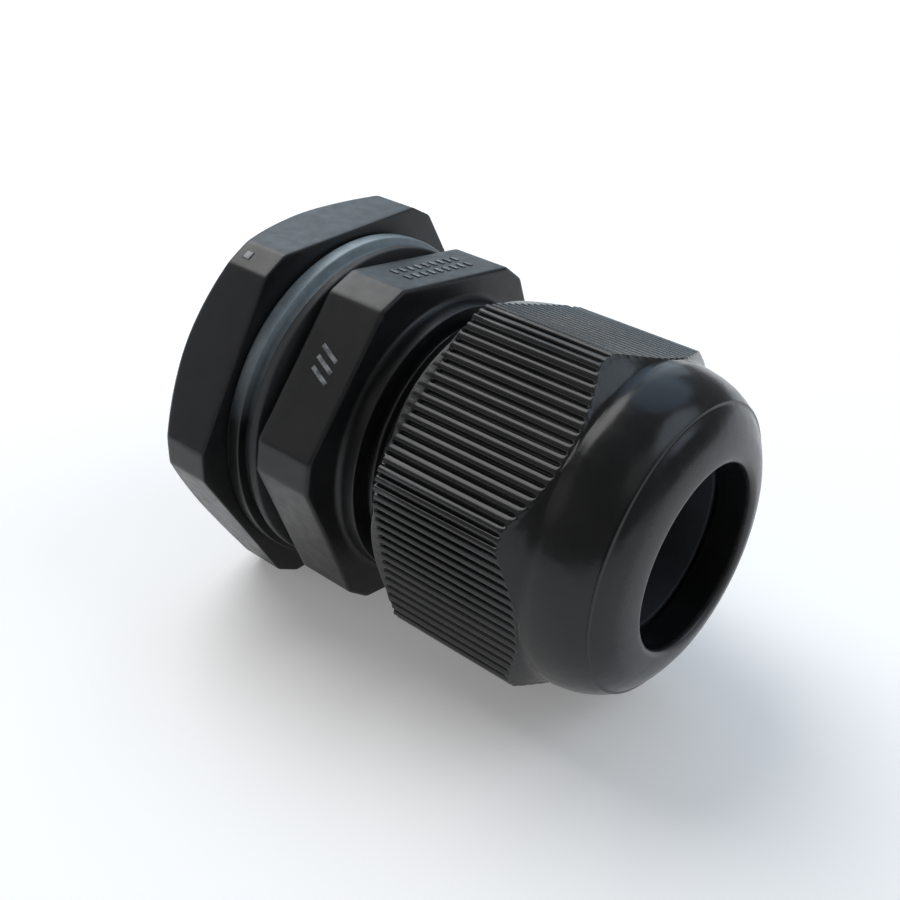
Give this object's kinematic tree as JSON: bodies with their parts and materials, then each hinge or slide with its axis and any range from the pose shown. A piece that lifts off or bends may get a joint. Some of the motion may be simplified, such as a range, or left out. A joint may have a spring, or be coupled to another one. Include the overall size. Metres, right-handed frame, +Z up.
{
  "type": "cable gland",
  "caption": "Black nylon cable gland lying on its side: hexagon body with two threads, locknut, flat gasket, ribbed dome nut, clamping fingers and a rubber seal.",
  "frame": {"origin": "on the surface the gland lies on, midway along it and midway across it", "axes": "+X along the gland's axis from the entry thread towards the nose, +Z up, the locknut lying on one flat"},
  "size_m": [0.0428, 0.0348, 0.0314],
  "materials": {
    "body_nylon": "satin moulded black nylon",
    "locknut_nylon": "satin moulded black nylon",
    "nut_nylon": "black nylon, satin on the ribs and glossy on the dome",
    "claw_nylon": "satin moulded black nylon",
    "gasket_rubber": "dull black rubber",
    "seal_rubber": "dull black rubber"
  },
  "bodies": {
    "gland_body": {"gland_body": "body_nylon"},
    "gasket": {"gasket": "gasket_rubber"},
    "locknut": {"locknut": "locknut_nylon"},
    "sealing_insert": {"sealing_insert": "seal_rubber"},
    "dome_nut": {"dome_nut": "nut_nylon"},
    "claw_finger_01": {"claw_finger_01": "claw_nylon"},
    "claw_finger_02": {"claw_finger_02": "claw_nylon"},
    "claw_finger_03": {"claw_finger_03": "claw_nylon"},
    "claw_finger_04": {"claw_finger_04": "claw_nylon"},
    "claw_finger_05": {"claw_finger_05": "claw_nylon"},
    "claw_finger_06": {"claw_finger_06": "claw_nylon"},
    "claw_finger_07": {"claw_finger_07": "claw_nylon"},
    "claw_finger_08": {"claw_finger_08": "claw_nylon"},
    "claw_finger_09": {"claw_finger_09": "claw_nylon"},
    "claw_finger_10": {"claw_finger_10": "claw_nylon"},
    "claw_finger_11": {"claw_finger_11": "claw_nylon"},
    "claw_finger_12": {"claw_finger_12": "claw_nylon"}
  },
  "joints": [
    {"name": "gasket_slide", "type": "slide", "parent": "gland_body", "child": "gasket", "axis": [1, 0, 0], "range_m": [-0.009, 0]},
    {"name": "locknut_turn", "type": "hinge", "parent": "gasket", "child": "locknut", "pos_m": [-0.0172, 0, 0.0157], "axis": [1, 0, 0], "range_deg": [-2290, 0]},
    {"name": "seal_slide", "type": "slide", "parent": "gland_body", "child": "sealing_insert", "axis": [1, 0, 0], "range_m": [-0.0026, 0.0022]},
    {"name": "dome_nut_turn", "type": "hinge", "parent": "sealing_insert", "child": "dome_nut", "pos_m": [0.00655, 0, 0.0157], "axis": [1, 0, 0], "range_deg": [-662, 540]},
    {"name": "claw_finger_01_flex", "type": "hinge", "parent": "gland_body", "child": "claw_finger_01", "pos_m": [0.00745, 0.00975, 0.0157], "axis": [0, 0, -1], "range_deg": [-4.6, 5.6]},
    {"name": "claw_finger_02_flex", "type": "hinge", "parent": "gland_body", "child": "claw_finger_02", "pos_m": [0.00745, 0.00844, 0.02057], "axis": [0, 0.5, -0.866], "range_deg": [-4.6, 5.6]},
    {"name": "claw_finger_03_flex", "type": "hinge", "parent": "gland_body", "child": "claw_finger_03", "pos_m": [0.00745, 0.00487, 0.02414], "axis": [0, 0.866, -0.5], "range_deg": [-4.6, 5.6]},
    {"name": "claw_finger_04_flex", "type": "hinge", "parent": "gland_body", "child": "claw_finger_04", "pos_m": [0.00745, 0, 0.02545], "axis": [0, 1, 0], "range_deg": [-4.6, 5.6]},
    {"name": "claw_finger_05_flex", "type": "hinge", "parent": "gland_body", "child": "claw_finger_05", "pos_m": [0.00745, -0.00487, 0.02414], "axis": [0, 0.866, 0.5], "range_deg": [-4.6, 5.6]},
    {"name": "claw_finger_06_flex", "type": "hinge", "parent": "gland_body", "child": "claw_finger_06", "pos_m": [0.00745, -0.00844, 0.02057], "axis": [0, 0.5, 0.866], "range_deg": [-4.6, 5.6]},
    {"name": "claw_finger_07_flex", "type": "hinge", "parent": "gland_body", "child": "claw_finger_07", "pos_m": [0.00745, -0.00975, 0.0157], "axis": [0, 0, 1], "range_deg": [-4.6, 5.6]},
    {"name": "claw_finger_08_flex", "type": "hinge", "parent": "gland_body", "child": "claw_finger_08", "pos_m": [0.00745, -0.00844, 0.01082], "axis": [0, -0.5, 0.866], "range_deg": [-4.6, 5.6]},
    {"name": "claw_finger_09_flex", "type": "hinge", "parent": "gland_body", "child": "claw_finger_09", "pos_m": [0.00745, -0.00487, 0.00726], "axis": [0, -0.866, 0.5], "range_deg": [-4.6, 5.6]},
    {"name": "claw_finger_10_flex", "type": "hinge", "parent": "gland_body", "child": "claw_finger_10", "pos_m": [0.00745, 0, 0.00595], "axis": [0, -1, 0], "range_deg": [-4.6, 5.6]},
    {"name": "claw_finger_11_flex", "type": "hinge", "parent": "gland_body", "child": "claw_finger_11", "pos_m": [0.00745, 0.00487, 0.00726], "axis": [0, -0.866, -0.5], "range_deg": [-4.6, 5.6]},
    {"name": "claw_finger_12_flex", "type": "hinge", "parent": "gland_body", "child": "claw_finger_12", "pos_m": [0.00745, 0.00844, 0.01082], "axis": [0, -0.5, -0.866], "range_deg": [-4.6, 5.6]}
  ],
  "couplings": [
    {"joint": "gasket_slide", "follows": "locknut_turn", "m_per_rad": 0.00022458},
    {"joint": "seal_slide", "follows": "dome_nut_turn", "m_per_rad": 0.00022458},
    {"joint": "claw_finger_01_flex", "follows": "dome_nut_turn", "ratio": -0.0083},
    {"joint": "claw_finger_02_flex", "follows": "dome_nut_turn", "ratio": -0.0083},
    {"joint": "claw_finger_03_flex", "follows": "dome_nut_turn", "ratio": -0.0083},
    {"joint": "claw_finger_04_flex", "follows": "dome_nut_turn", "ratio": -0.0083},
    {"joint": "claw_finger_05_flex", "follows": "dome_nut_turn", "ratio": -0.0083},
    {"joint": "claw_finger_06_flex", "follows": "dome_nut_turn", "ratio": -0.0083},
    {"joint": "claw_finger_07_flex", "follows": "dome_nut_turn", "ratio": -0.0083},
    {"joint": "claw_finger_08_flex", "follows": "dome_nut_turn", "ratio": -0.0083},
    {"joint": "claw_finger_09_flex", "follows": "dome_nut_turn", "ratio": -0.0083},
    {"joint": "claw_finger_10_flex", "follows": "dome_nut_turn", "ratio": -0.0083},
    {"joint": "claw_finger_11_flex", "follows": "dome_nut_turn", "ratio": -0.0083},
    {"joint": "claw_finger_12_flex", "follows": "dome_nut_turn", "ratio": -0.0083}
  ]
}
